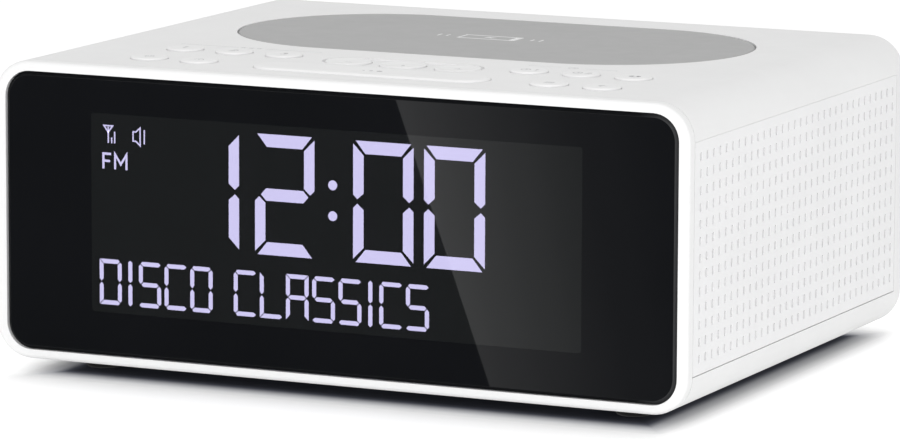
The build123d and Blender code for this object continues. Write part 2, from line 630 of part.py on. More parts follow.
with BuildPart() as usb_socket:
    with BuildSketch(facing_front(SOCKET_BACK, MAIN_BOARD_TOP + USB_HEIGHT / 2)):
        with Locations((USB_X, 0)):
            RectangleRounded(USB_WIDTH, USB_HEIGHT, 0.6)
    extrude(amount=SOCKET_LENGTH)
    with BuildSketch(facing_front(SOCKET_BACK, MAIN_BOARD_TOP + USB_HEIGHT / 2)):
        with Locations((USB_X, 0)):
            Rectangle(USB_WIDTH - 0.8, USB_HEIGHT - 0.8)
        with Locations((USB_X, 1.2)):
            Rectangle(USB_WIDTH - 1.8, 1.8, mode=Mode.SUBTRACT)
    extrude(amount=SOCKET_LENGTH - 2, mode=Mode.SUBTRACT)
usb_socket.part.label = "usb_socket"
export_step(usb_socket.part, "parts/usb_socket.step")

with BuildPart() as antenna_grommet:
    with BuildSketch(facing_front(BACK, PANEL_Z)):
        with Locations((GROMMET_X, 0)):
            Circle(GROMMET_RADIUS - 1.1)
    extrude(amount=PANEL_THICK + 1.6)
    with BuildSketch(facing_front(BACK - PANEL_THICK - 0.1, PANEL_Z)):
        with Locations((GROMMET_X, 0)):
            Circle(GROMMET_RADIUS)
    extrude(amount=1.5)
    with BuildSketch(facing_front(BACK, PANEL_Z)):
        with Locations((GROMMET_X, 0)):
            Circle(1.2)
    extrude(amount=PANEL_THICK + 1.6, mode=Mode.SUBTRACT)
antenna_grommet.part.label = "antenna_grommet"
export_step(antenna_grommet.part, "parts/antenna_grommet.step")

# -------- wireless charger under the pad
with BuildPart() as charging_coil:
    with BuildSketch(Plane.XY.offset(DECK_UNDER)):
        with Locations((PAD_X, PAD_Y)):
            Circle(COIL_RADIUS)
            Circle(COIL_EYE, mode=Mode.SUBTRACT)
    extrude(amount=-COIL_THICK)
charging_coil.part.label = "charging_coil"
export_step(charging_coil.part, "parts/charging_coil.step")

with BuildPart() as ferrite_sheet:
    with BuildSketch(Plane.XY.offset(DECK_UNDER - COIL_THICK)):
        with Locations((PAD_X, PAD_Y)):
            RectangleRounded(FERRITE_SIZE, FERRITE_SIZE, BOARD_CORNER + 1)
    extrude(amount=-FERRITE_THICK)
ferrite_sheet.part.label = "ferrite_sheet"
export_step(ferrite_sheet.part, "parts/ferrite_sheet.step")

with BuildPart() as charging_board:
    with BuildSketch(Plane.XY.offset(CHARGE_BOARD_TOP)):
        with Locations((PAD_X, PAD_Y)):
            RectangleRounded(CHARGE_BOARD_LENGTH, CHARGE_BOARD_WIDTH, BOARD_CORNER)
        with Locations(*CHARGE_POSTS):
            Circle(CLEAR_RADIUS, mode=Mode.SUBTRACT)
    extrude(amount=-BOARD_THICK)
charging_board.part.label = "charging_board"
export_step(charging_board.part, "parts/charging_board.step")

# -------- speakers: each profile turns about the speaker's axis
BASKET_PROFILE = [
    (0, 31), (1.2, 31), (1.2, 26.4), (13.8, 16.4), (15, 16.4), (15, 7), (13.8, 7), (13.8, 15.2), (0, 25.2),
]
CONE_PROFILE = [(-0.8, 25.8), (0, 25.8), (0, 24.4), (9.6, 7), (7.4, 0), (6.8, 0), (8.8, 7), (-0.8, 23.4)]
MAGNET_PROFILE = [(12, 0), (12, 6), (15, 6), (15, 16), (24, 16), (24, 0)]


def speaker_axis():
    return Axis((0, SPEAKER_Y, MID_Z), (1, 0, 0))


for side, side_name in ((LEFT, "left"), (RIGHT, "right")):
    for piece, profile in (
        ("speaker_basket", BASKET_PROFILE),
        ("speaker_cone", CONE_PROFILE),
        ("speaker_magnet", MAGNET_PROFILE),
    ):
        with BuildPart() as speaker_piece:
            with BuildSketch(Plane.XY.offset(MID_Z)):
                with BuildLine():
                    Polyline(
                        *[(side * (SPEAKER_FACE - depth), SPEAKER_Y + radius) for depth, radius in profile],
                        close=True,
                    )
                make_face()
            revolve(axis=speaker_axis())
            if piece == "speaker_basket":
                with BuildSketch(speaker_seat(side)):
                    with speaker_screw_places():
                        Circle(CLEAR_RADIUS)
                extrude(amount=2, mode=Mode.SUBTRACT)
        speaker_piece.part.label = f"{piece}_{side_name}"
        export_step(speaker_piece.part, f"parts/{piece}_{side_name}.step")

# -------- rubber feet
with BuildPart() as rubber_feet:
    with BuildSketch(Plane.XY):
        with Locations(*FEET):
            Circle(FOOT_RADIUS)
    extrude(amount=BASE + FOOT_SOCKET)
    fillet(rubber_feet.faces().group_by(Axis.Z)[0].edges(), radius=FOOT_EDGE)
rubber_feet.part.label = "rubber_feet"
export_step(rubber_feet.part, "parts/rubber_feet.step")

# -------- screws, grouped by what they hold
with BuildPart() as housing_screws:
    for x, y in COVER_SCREWS:
        screw(Plane(origin=(x, y, BASE + HEAD_HEIGHT + 0.1), z_dir=(0, 0, 1)), 7.5)
    for x, z in PANEL_SCREWS:
        screw(Plane(origin=(x, BACK - HEAD_HEIGHT - 0.1, PANEL_Z + z), z_dir=(0, -1, 0)), 6.5)
housing_screws.part.label = "housing_screws"
export_step(housing_screws.part, "parts/housing_screws.step")

with BuildPart() as board_screws:
    for x, y in KEY_POSTS:
        screw(Plane(origin=(x, y, KEY_BOARD_TOP - BOARD_THICK), z_dir=(0, 0, 1)), 7.5)
    for x, y in CHARGE_POSTS:
        screw(Plane(origin=(x, y, CHARGE_BOARD_TOP - BOARD_THICK), z_dir=(0, 0, 1)), 6)
    for x, y in MAIN_POSTS:
        screw(Plane(origin=(x, y, MAIN_BOARD_TOP), z_dir=(0, 0, -1)), 7)
    for x, z in DISPLAY_POSTS:
        screw(Plane(origin=(x, LCD_FRAME_BACK + BOARD_THICK, MID_Z + z), z_dir=(0, -1, 0)), 6)
board_screws.part.label = "board_screws"
export_step(board_screws.part, "parts/board_screws.step")

with BuildPart() as speaker_screws:
    for side in (LEFT, RIGHT):
        seat = speaker_seat(side).offset(1.2)
        for corner in speaker_screw_places():
            place = (seat * corner).position
            screw(Plane(origin=place, z_dir=(side, 0, 0)), 4.8)
speaker_screws.part.label = "speaker_screws"
export_step(speaker_screws.part, "parts/speaker_screws.step")
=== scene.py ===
import json
import math

import bmesh
import bpy
from mathutils import Matrix, Vector


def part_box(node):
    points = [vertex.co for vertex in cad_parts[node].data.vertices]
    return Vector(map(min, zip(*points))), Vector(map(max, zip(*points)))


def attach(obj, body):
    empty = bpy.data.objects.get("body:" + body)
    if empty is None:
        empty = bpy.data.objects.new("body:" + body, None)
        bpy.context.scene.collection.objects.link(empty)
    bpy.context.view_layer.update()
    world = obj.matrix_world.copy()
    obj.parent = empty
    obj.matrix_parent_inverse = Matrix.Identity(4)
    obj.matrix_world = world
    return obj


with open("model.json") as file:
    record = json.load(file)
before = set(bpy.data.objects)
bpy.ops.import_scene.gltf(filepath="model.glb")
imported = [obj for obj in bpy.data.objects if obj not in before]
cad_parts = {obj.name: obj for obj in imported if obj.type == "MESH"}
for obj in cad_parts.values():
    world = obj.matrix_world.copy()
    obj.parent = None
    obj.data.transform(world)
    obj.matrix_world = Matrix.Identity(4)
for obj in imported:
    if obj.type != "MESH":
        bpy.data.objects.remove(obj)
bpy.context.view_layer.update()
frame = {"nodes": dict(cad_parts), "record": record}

# Clock radio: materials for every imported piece, the lit display behind the smoked lens, the printed marks on
# the buttons, deck and pad, and the studio round them. Places are in metres; drawn marks are in millimetres.
NODES = frame["nodes"]
MM = 0.001


def low_mm(node):
    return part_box(node)[0] / MM


def high_mm(node):
    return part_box(node)[1] / MM


def middle_mm(node):
    return (low_mm(node) + high_mm(node)) / 2


LENS_LOW, LENS_HIGH = low_mm("front_lens"), high_mm("front_lens")
GLASS_LOW = low_mm("lcd_glass")
LENS_MIDDLE = middle_mm("front_lens")
DECK_Z = high_mm("housing").z
PAD_MIDDLE = middle_mm("charging_pad")
WINDOW_MIDDLE = (0.0, 44.92)
WINDOW_WIDTH = 141.5
WINDOW_HEIGHT = 53.2
WINDOW_CORNER = 0.75

# ---- materials


def new_material(name):
    """An empty node material with one Principled shader. Gives the material, its tree and the shader."""
    made = bpy.data.materials.new(name)
    made.use_nodes = True
    tree = made.node_tree
    tree.nodes.clear()
    output = tree.nodes.new("ShaderNodeOutputMaterial")
    shader = tree.nodes.new("ShaderNodeBsdfPrincipled")
    tree.links.new(shader.outputs[0], output.inputs["Surface"])
    return made, tree, shader


def surface_of(tree):
    """The socket that takes the material's final shader."""
    return next(n for n in tree.nodes if n.type == "OUTPUT_MATERIAL").inputs["Surface"]


def node(tree, kind, **values):
    """Adds a node of the kind and sets its inputs, by name, to plain values or to another node's output."""
    added = tree.nodes.new(kind)
    for name, value in values.items():
        socket = added.inputs[name.replace("_", " ")]
        if isinstance(value, bpy.types.NodeSocket):
            tree.links.new(value, socket)
        else:
            socket.default_value = value
    return added


def one_math(tree, operation, first, second=None):
    """One arithmetic node on values or outputs."""
    made = tree.nodes.new("ShaderNodeMath")
    made.operation = operation
    for socket, value in zip(made.inputs, (first, second)):
        if isinstance(value, bpy.types.NodeSocket):
            tree.links.new(value, socket)
        elif value is not None:
            socket.default_value = value
    return made.outputs[0]


def place_in(tree):
    """The point's own place in the radio, in metres."""
    return node(tree, "ShaderNodeTexCoord").outputs["Object"]


def noise(tree, size_mm, detail=2.0):
    """A noise between 0 and 1 whose features are about size_mm across."""
    made = node(tree, "ShaderNodeTexNoise", Vector=place_in(tree), Scale=1 / (size_mm * MM), Detail=detail)
    return made.outputs["Fac"]


def map_range(tree, value, from_low, from_high, to_low=0, to_high=1):
    """A value that goes from to_low to to_high as the given one goes from from_low to from_high."""
    ranges = {"From Min": from_low, "From Max": from_high, "To Min": to_low, "To Max": to_high}
    return node(tree, "ShaderNodeMapRange", Value=value, **ranges).outputs["Result"]


# The range that a noise seldom leaves.
NOISE_LOW, NOISE_HIGH = 0.3, 0.7


def spread(tree, value, low, high):
    """The middle half of a noise, stretched to run from low to high."""
    return map_range(tree, value, NOISE_LOW, NOISE_HIGH, low, high)


def two_tones(tree, value, first, second):
    """A colour that goes from first to second over the middle half of a noise."""
    ramp = node(tree, "ShaderNodeValToRGB", Fac=value)
    ends = ((NOISE_LOW, first), (NOISE_HIGH, second))
    for element, (place, color) in zip(ramp.color_ramp.elements, ends):
        element.position = place
        element.color = (*color, 1)
    return ramp.outputs["Color"]


def grained(tree, shader, height, depth_mm):
    """Gives the shader a bump of the given height map."""
    bump = node(tree, "ShaderNodeBump", Height=height, Distance=depth_mm * MM)
    tree.links.new(bump.outputs["Normal"], shader.inputs["Normal"])


def tinted(color, factor):
    """The colour, made lighter or darker by the factor."""
    return tuple(min(1.0, channel * factor) for channel in color)


def moulded(name, color, roughness, grain_mm=0.35, depth_mm=0.008, mottle=0.012, specular=0.5):
    """Moulded plastic or rubber: a fine sparked grain, a faint mottle and uneven gloss."""
    made, tree, shader = new_material(name)
    patches = noise(tree, 18, detail=3)
    tone = two_tones(tree, patches, tinted(color, 1 - mottle), tinted(color, 1 + mottle))
    tree.links.new(tone, shader.inputs["Base Color"])
    gloss = spread(tree, noise(tree, 6), roughness * 0.94, roughness * 1.06)
    tree.links.new(gloss, shader.inputs["Roughness"])
    shader.inputs["Specular IOR Level"].default_value = specular
    grained(tree, shader, noise(tree, grain_mm), depth_mm)
    return made


def metal(name, color, roughness, grain_mm=0.5):
    """Sheet metal: drawn in one direction, so its grain is stretched along X."""
    made, tree, shader = new_material(name)
    stretched = node(tree, "ShaderNodeMapping", Vector=place_in(tree), Scale=(0.15, 1, 1)).outputs["Vector"]
    lines = node(tree, "ShaderNodeTexNoise", Vector=stretched, Scale=1 / (grain_mm * MM), Detail=3.0).outputs["Fac"]
    tree.links.new(two_tones(tree, lines, tinted(color, 0.9), color), shader.inputs["Base Color"])
    tree.links.new(spread(tree, lines, roughness * 0.8, roughness * 1.2), shader.inputs["Roughness"])
    shader.inputs["Metallic"].default_value = 1
    grained(tree, shader, lines, 0.004)
    return made


def woven(name, color):
    """Acoustic cloth: threads running across and up, each crossing a little raised."""
    made, tree, shader = new_material(name)
    threads = []
    for direction in ("Y", "Z"):
        wave = node(tree, "ShaderNodeTexWave", Vector=place_in(tree), Scale=900.0)
        wave.bands_direction = direction
        threads.append(wave.outputs["Fac"])
    weave = one_math(tree, "MULTIPLY", *threads)
    tree.links.new(two_tones(tree, weave, tinted(color, 0.92), color), shader.inputs["Base Color"])
    tree.links.new(spread(tree, noise(tree, 5), 0.85, 0.95), shader.inputs["Roughness"])
    grained(tree, shader, weave, 0.02)
    return made


def circuit_board(name):
    """Green solder mask over copper tracks, with paler tracks in a rectangular maze."""
    made, tree, shader = new_material(name)
    bricks = tree.nodes.new("ShaderNodeTexBrick")
    tree.links.new(place_in(tree), bricks.inputs["Vector"])
    bricks.inputs["Scale"].default_value = 420
    bricks.inputs["Mortar Size"].default_value = 0.045
    bricks.inputs["Color1"].default_value = (0.012, 0.10, 0.035, 1)
    bricks.inputs["Color2"].default_value = (0.014, 0.12, 0.042, 1)
    bricks.inputs["Mortar"].default_value = (0.03, 0.21, 0.08, 1)
    tree.links.new(bricks.outputs["Color"], shader.inputs["Base Color"])
    tree.links.new(spread(tree, noise(tree, 4), 0.25, 0.4), shader.inputs["Roughness"])
    grained(tree, shader, bricks.outputs["Fac"], 0.02)
    return made


def wound_copper(name, centre):
    """Enamelled copper wire wound in a flat spiral round the coil's centre."""
    made, tree, shader = new_material(name)
    moved = node(tree, "ShaderNodeMapping", Vector=place_in(tree), Location=-centre * MM).outputs["Vector"]
    wave = tree.nodes.new("ShaderNodeTexWave")
    wave.wave_type = "RINGS"
    wave.rings_direction = "Z"
    tree.links.new(moved, wave.inputs["Vector"])
    wave.inputs["Scale"].default_value = 160
    tone = two_tones(tree, wave.outputs["Fac"], (0.20, 0.06, 0.025), (0.75, 0.30, 0.13))
    tree.links.new(tone, shader.inputs["Base Color"])
    shader.inputs["Metallic"].default_value = 1
    tree.links.new(spread(tree, noise(tree, 2), 0.25, 0.35), shader.inputs["Roughness"])
    grained(tree, shader, wave.outputs["Fac"], 0.15)
    return made


def ranged(tree, value, start_mm, end_mm, first, second):
    """A value that goes from first to second as a distance goes from its start to its end."""
    return map_range(tree, value, start_mm * MM, end_mm * MM, first, second)


def clear_of_corner(tree, across, up):
    """How far a point is outside a corner, from how far it is past each of the two sides: below 0 inside."""
    past = [one_math(tree, "MAXIMUM", value, 0.0) for value in (across, up)]
    squares = one_math(tree, "ADD", *[one_math(tree, "MULTIPLY", value, value) for value in past])
    within = one_math(tree, "MINIMUM", one_math(tree, "MAXIMUM", across, up), 0.0)
    return one_math(tree, "ADD", one_math(tree, "SQRT", squares), within)


def window_mask(tree, axes):
    """1 in the display's window, which has small round corners, and 0 round it."""
    reach = []
    for axis, middle, size in (("X", WINDOW_MIDDLE[0], WINDOW_WIDTH), ("Z", WINDOW_MIDDLE[1], WINDOW_HEIGHT)):
        away = one_math(tree, "ABSOLUTE", one_math(tree, "SUBTRACT", axes.outputs[axis], middle * MM))
        reach.append(one_math(tree, "SUBTRACT", away, (size / 2 - WINDOW_CORNER) * MM))
    return ranged(tree, clear_of_corner(tree, *reach), WINDOW_CORNER - 0.1, WINDOW_CORNER, 1, 0)


def smoked_lens(name, see_through):
    """Smoked acrylic, black-backed except for the display's window, with a frosted bevel round its edge and a
    painted highlight on the bevel near the right end.
    """
    made, tree, shader = new_material(name)
    axes = node(tree, "ShaderNodeSeparateXYZ", Vector=place_in(tree))
    bevel = one_math(
        tree, "MULTIPLY",
        ranged(tree, axes.outputs["Y"], LENS_LOW.y + 0.01, LENS_LOW.y + 0.04, 0, 1),
        ranged(tree, axes.outputs["Y"], LENS_LOW.y + LENS_BEVEL - 0.03, LENS_LOW.y + LENS_BEVEL, 1, 0),
    )
    tone = two_tones(tree, noise(tree, 25, detail=1), (0.0052, 0.0056, 0.0065), (0.0057, 0.0061, 0.0071))
    # Painted highlight: near the right end the bevel's colour is lightened, standing in for the light it reflects
    # there.
    near_right = ranged(tree, axes.outputs["X"], LENS_HIGH.x - BEVEL_FADE[0], LENS_HIGH.x - BEVEL_FADE[1], 0, 1)
    painted_highlight_mask = one_math(tree, "MULTIPLY", bevel, near_right)
    bevel_highlight_mix = tree.nodes.new("ShaderNodeMix")
    bevel_highlight_mix.data_type = "RGBA"
    ends = {socket.name: socket for socket in bevel_highlight_mix.inputs if socket.type == "RGBA"}
    tree.links.new(painted_highlight_mask, bevel_highlight_mix.inputs["Factor"])
    tree.links.new(tone, ends["A"])
    ends["B"].default_value = BEVEL_PAINTED_HIGHLIGHT
    tone_with_highlight = next(socket for socket in bevel_highlight_mix.outputs if socket.type == "RGBA")
    tree.links.new(tone_with_highlight, shader.inputs["Base Color"])
    gloss = spread(tree, noise(tree, 30, detail=1), 0.01, 0.014)
    frost = one_math(tree, "MULTIPLY", bevel, BEVEL_FROST)
    tree.links.new(one_math(tree, "ADD", gloss, frost), shader.inputs["Roughness"])
    shader.inputs["IOR"].default_value = 1.49
    window = window_mask(tree, axes)
    shine = one_math(tree, "ADD", one_math(tree, "MULTIPLY", window, WINDOW_EXTRA_SHINE), 0.5)
    dull_bevel = one_math(tree, "SUBTRACT", bevel, painted_highlight_mask)
    shine = one_math(tree, "SUBTRACT", shine, one_math(tree, "MULTIPLY", dull_bevel, BEVEL_DULL))
    tree.links.new(shine, shader.inputs["Specular IOR Level"])
    depth = ranged(tree, axes.outputs["Y"], LENS_MIDDLE.y, LENS_MIDDLE.y + 0.1, 0, 1)
    front = one_math(tree, "MULTIPLY", window, see_through)
    amount = one_math(tree, "MAXIMUM", front, depth)
    clear = tree.nodes.new("ShaderNodeBsdfTransparent")
    mix = tree.nodes.new("ShaderNodeMixShader")
    tree.links.new(amount, mix.inputs["Fac"])
    tree.links.new(shader.outputs[0], mix.inputs[1])
    tree.links.new(clear.outputs[0], mix.inputs[2])
    tree.links.new(mix.outputs[0], surface_of(tree))
    return made


def glowing(name, base, light, strength, size_mm=12):
    """A surface lit from behind: a faint cloud in its own colour, and an even glow."""
    made, tree, shader = new_material(name)
    tree.links.new(two_tones(tree, noise(tree, size_mm), tinted(base, 0.9), base), shader.inputs["Base Color"])
    tree.links.new(spread(tree, noise(tree, size_mm), 0.3, 0.4), shader.inputs["Roughness"])
    shader.inputs["Emission Color"].default_value = (*light, 1)
    shader.inputs["Emission Strength"].default_value = strength
    return made


# The lens lets a tenth of the display's light through. Its bevel, in mm deep, is frosted; beside the right end only
# it has a painted highlight, a lighter tone, which fades over the distances in BEVEL_FADE, in mm from that end.
LENS_LIGHT = 0.1
LENS_BEVEL = 1.0
BEVEL_PAINTED_HIGHLIGHT = (0.014, 0.0145, 0.016, 1)
BEVEL_FROST = 0.4
BEVEL_DULL = 0.47
BEVEL_FADE = (11, 3)
WINDOW_EXTRA_SHINE = 0.3
MATERIALS = {
    "shell_white": moulded("shell_white", (0.735, 0.735, 0.735), 0.5),
    "bezel_white": moulded("bezel_white", (0.735, 0.735, 0.735), 0.32, depth_mm=0.002, mottle=0.006),
    "grille_white": moulded("grille_white", (0.745, 0.745, 0.75), 0.5),
    "button_caps": moulded("button_caps", (0.74, 0.74, 0.74), 0.42, depth_mm=0.005),
    "switch_plungers": moulded("switch_plungers", (0.60, 0.57, 0.50), 0.45),
    "smoked_lens": smoked_lens("smoked_lens", LENS_LIGHT),
    "soft_grey": moulded("soft_grey", (0.363, 0.363, 0.363), 0.62, grain_mm=0.25, depth_mm=0.012),
    "display_glass": glowing("display_glass", (0.010, 0.011, 0.011), (0.90, 1.0, 0.92), 0.062),
    "light_guide": glowing("light_guide", (0.7, 0.72, 0.76), (0.86, 0.82, 1.0), 0.5),
    "circuit_board": circuit_board("circuit_board"),
    "black_plastic": moulded("black_plastic", (0.018, 0.018, 0.019), 0.45),
    "tinned_steel": metal("tinned_steel", (0.62, 0.61, 0.58), 0.3),
    "screw_steel": metal("screw_steel", (0.42, 0.42, 0.43), 0.35),
    "rubber_black": moulded("rubber_black", (0.009, 0.009, 0.009), 0.75, grain_mm=0.5, depth_mm=0.02, specular=0.2),
    "copper": wound_copper("copper", middle_mm("charging_coil")),
    "ferrite": moulded("ferrite", (0.035, 0.034, 0.036), 0.7, grain_mm=0.6, depth_mm=0.02),
    "basket_steel": moulded("basket_steel", (0.02, 0.02, 0.022), 0.38),
    "speaker_cloth": woven("speaker_cloth", (0.74, 0.74, 0.74)),
    "paper_cone": moulded("paper_cone", (0.022, 0.022, 0.024), 0.85, grain_mm=0.8, depth_mm=0.05),
}
SEGMENT_LIGHT = glowing("segment_light", (0.6, 0.58, 0.7), (0.706, 0.662, 1.0), 0.87 / LENS_LIGHT)
PRINT_GREY = moulded("print_grey", (0.40, 0.40, 0.41), 0.5, depth_mm=0.002, mottle=0.05)
PRINT_FAINT = moulded("print_faint", (0.52, 0.52, 0.53), 0.5, depth_mm=0.002, mottle=0.04)
PRINT_LIGHT = moulded("print_light", (0.74, 0.74, 0.74), 0.5, depth_mm=0.002, mottle=0.03)

for part in frame["record"]["subparts"]:
    cad_mesh = NODES[part["node"]].data
    cad_mesh.materials.clear()
    cad_mesh.materials.append(MATERIALS[part["material_slot"]])

# ---- flat shapes: outlines and strokes


def outline(points):
    """One closed outline, as a shape: its points and the one face that they bound."""
    return list(points), [tuple(range(len(points)))]


def stroke(points, width, closed=False):
    """A line of even width through the points, with mitred corners, as a shape."""
    path = [Vector(p) for p in points]
    count = len(path)
    sides = []
    for i, here in enumerate(path):
        before = path[i - 1] if closed or i else None
        after = path[(i + 1) % count] if closed or i < count - 1 else None
        into = (here - before).normalized() if before is not None else (after - here).normalized()
        onward = (after - here).normalized() if after is not None else into
        along = (into + onward).normalized()
        across = Vector((-along.y, along.x))
        reach = width / 2 / max(0.35, across.dot(Vector((-into.y, into.x))))
        sides += [tuple(here + across * reach), tuple(here - across * reach)]
    faces = []
    for i in range(count if closed else count - 1):
        a, b = 2 * i, 2 * ((i + 1) % count)
        faces.append((a, a + 1, b + 1, b))
    return sides, faces


def arc(centre, radius, start_deg, end_deg, steps=16):
    """Points along an arc."""
    turns = [math.radians(start_deg + (end_deg - start_deg) * i / steps) for i in range(steps + 1)]
    return [(centre[0] + radius * math.cos(t), centre[1] + radius * math.sin(t)) for t in turns]


def disc(centre, radius, steps=28):
    return outline(arc(centre, radius, 0, 360 * (steps - 1) / steps, steps - 1))


def shifted(shape, dx, dy):
    points, faces = shape
    return [(x + dx, y + dy) for x, y in points], faces


def raised(name, shapes, to_space, thickness, finish, body):
    """Makes the shapes one piece, as thick as thickness, in mm. to_space turns (u, v, height) into a place."""
    made = bmesh.new()
    for points, faces in shapes:
        corners = [made.verts.new(to_space(u, v, 0) * MM) for u, v in points]
        lower = [made.faces.new([corners[i] for i in face]) for face in faces]
        grown = bmesh.ops.extrude_face_region(made, geom=lower)
        lift = (to_space(0, 0, thickness) - to_space(0, 0, 0)) * MM
        bmesh.ops.translate(made, vec=lift, verts=[v for v in grown["geom"] if isinstance(v, bmesh.types.BMVert)])
    bmesh.ops.recalc_face_normals(made, faces=made.faces)
    mesh = bpy.data.meshes.new(name)
    made.to_mesh(mesh)
    made.free()
    mesh.materials.append(finish)
    piece = bpy.data.objects.new(name, mesh)
    bpy.context.scene.collection.objects.link(piece)
    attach(piece, body)
    return piece


def on_glass(u, v, height):
    """Across and up on the display glass, growing towards the user."""
    return Vector((u, GLASS_LOW.y - height, v))


def on_level(level):
    """Across and back on a level surface, growing upwards."""
    return lambda u, v, height: Vector((u, v, level + height))


# ---- display: seven-bar figures and the line of letters

DIGIT_WIDTH = 17.3
DIGIT_HEIGHT = 31.9
DIGIT_LOW_Z = 36.6
DIGIT_PITCH = 20.3
LAST_DIGIT_X = 24.7
COLON_X = -1.5
COLON_SPLIT = 8.1
COLON_RADIUS = 1.3
TENS_SHIFT = 8.2
SEGMENT_THICK = 0.06


def digit_bars(width, height):
    """The seven bars of a figure, with mitred outer corners and pointed waists, by letter."""
    waist = height / 2
    top = [(0.72, height), (width - 0.72, height), (width - 3.5, height - 3.38), (3.5, height - 3.38)]
    upper_left = [
        (0, height - 0.85), (3.0, height - 3.85), (3.0, waist + 2.15), (1.2, waist + 0.6), (0, waist + 1.75),
    ]
    middle = [
        (1.75, waist), (3.25, waist + 1.63), (width - 3.25, waist + 1.63),
        (width - 1.75, waist), (width - 3.25, waist - 1.63), (3.25, waist - 1.63),
    ]

    def upright_mirror(points):
        return [(x, height - z) for x, z in points]

    def side_mirror(points):
        return [(width - x, z) for x, z in points]

    return {
        "a": top,
        "f": upper_left,
        "b": side_mirror(upper_left),
        "g": middle,
        "e": upright_mirror(upper_left),
        "c": side_mirror(upright_mirror(upper_left)),
        "d": upright_mirror(top),
    }


DIGITS = {"0": "abcdef", "1": "bc", "2": "abged"}
bars = digit_bars(DIGIT_WIDTH, DIGIT_HEIGHT)
minute_x = LAST_DIGIT_X - DIGIT_PITCH
hour_x = minute_x - DIGIT_PITCH - TENS_SHIFT
clock_shapes = []
for figure, left in (("1", hour_x - DIGIT_PITCH - 1.7), ("2", hour_x), ("0", minute_x), ("0", LAST_DIGIT_X)):
    clock_shapes += [shifted(outline(bars[bar]), left, DIGIT_LOW_Z) for bar in DIGITS[figure]]
colon_z = DIGIT_LOW_Z + DIGIT_HEIGHT / 2 - 0.3
clock_shapes += [disc((COLON_X, colon_z + side * COLON_SPLIT / 2), COLON_RADIUS) for side in (-1, 1)]
raised("clock_segments", clock_shapes, on_glass, SEGMENT_THICK, SEGMENT_LIGHT, "radio")

LETTER_WIDTH = 6.6
LETTER_HEIGHT = 12.2
LETTER_GAP = 1.05
LETTER_LOW_Z = 19.8
LETTERS_LEFT = -70.3
SPACE_WIDTH = 5.2
BAR = 1.16
NARROW_CELL = BAR + 1.9
LETTERS_SHOWN = "DISCO CLASSICS"


def level_bar(left_end, right_end):
    """The top bar of a letter. An end is sharp, cut or free, as the letter's corner there is."""
    w, h, t = LETTER_WIDTH, LETTER_HEIGHT, BAR
    ends = {
        "sharp": [(t + 0.1, h - t), (0.15, h)],
        "cut": [(t + 0.12, h - t), (0.62, h - 0.55), (1.0, h)],
        "free": [(0.8, h - t), (0.12, h - t / 2), (0.8, h)],
    }
    left = ends[left_end]
    right = [(w - x, z) for x, z in reversed(ends[right_end])]
    return left + right


def side_bar(top_end):
    """The upper left bar of a letter, down to its pointed foot at the waist."""
    h, t, waist = LETTER_HEIGHT, BAR, LETTER_HEIGHT / 2
    ends = {
        "sharp": [(0, h - 0.2), (t, h - t - 0.2)],
        "cut": [(0, h - 1.2), (0.45, h - 0.75), (t, h - t - 0.25)],
    }
    return ends[top_end] + [(t, waist + 0.85), (t / 2, waist + 0.18), (0, waist + 0.85)]


def flipped_up(points):
    return [(x, LETTER_HEIGHT - z) for x, z in points]


def flipped_across(points):
    return [(LETTER_WIDTH - x, z) for x, z in points]


def waist_bar():
    """The middle bar of a letter, pointed at both ends."""
    w, waist, half = LETTER_WIDTH, LETTER_HEIGHT / 2, BAR / 2
    left = [(1.35, waist - half), (0.75, waist), (1.35, waist + half)]
    return left + [(w - x, z) for x, z in reversed(left)]


def stem_bar():
    """The upper half of an upright in the middle of a letter's width."""
    x, h, waist = LETTER_WIDTH / 2, LETTER_HEIGHT, LETTER_HEIGHT / 2
    half = BAR / 2
    return [
        (x - half, h - 0.5), (x, h), (x + half, h - 0.5),
        (x + half, waist + 0.75), (x, waist + 0.15), (x - half, waist + 0.75),
    ]


def sides(left_top=None, left_low=None, right_top=None, right_low=None):
    """The upright bars of a letter, each named by its outer end, or left out."""
    made = []
    if left_top:
        made.append(side_bar(left_top))
    if left_low:
        made.append(flipped_up(side_bar(left_low)))
    if right_top:
        made.append(flipped_across(side_bar(right_top)))
    if right_low:
        made.append(flipped_up(flipped_across(side_bar(right_low))))
    return made


# Each letter as its bars; a lower bar is an upper one turned over.
LETTERS = {
    "A": sides("sharp", "sharp", "sharp", "sharp") + [level_bar("sharp", "sharp"), waist_bar()],
    "C": sides("cut", "cut") + [level_bar("cut", "free"), flipped_up(level_bar("cut", "free"))],
    "D": sides("sharp", "sharp", "cut", "cut") + [level_bar("sharp", "cut"), flipped_up(level_bar("sharp", "cut"))],
    "I": [stem_bar(), flipped_up(stem_bar())],
    "L": sides("sharp", "sharp") + [flipped_up(level_bar("sharp", "free"))],
    "O": sides("cut", "cut", "cut", "cut") + [level_bar("cut", "cut"), flipped_up(level_bar("cut", "cut"))],
    "S": sides("cut", None, None, "cut")
    + [level_bar("cut", "free"), waist_bar(), flipped_up(level_bar("free", "cut"))],
}

letter_shapes = []
pen_x = LETTERS_LEFT
for letter in LETTERS_SHOWN:
    if letter == " ":
        pen_x += SPACE_WIDTH
        continue
    cell = NARROW_CELL if letter == "I" else LETTER_WIDTH
    inset = (LETTER_WIDTH - cell) / 2
    letter_shapes += [shifted(outline(bar), pen_x - inset, LETTER_LOW_Z) for bar in LETTERS[letter]]
    pen_x += cell + LETTER_GAP
raised("letter_segments", letter_shapes, on_glass, SEGMENT_THICK, SEGMENT_LIGHT, "radio")

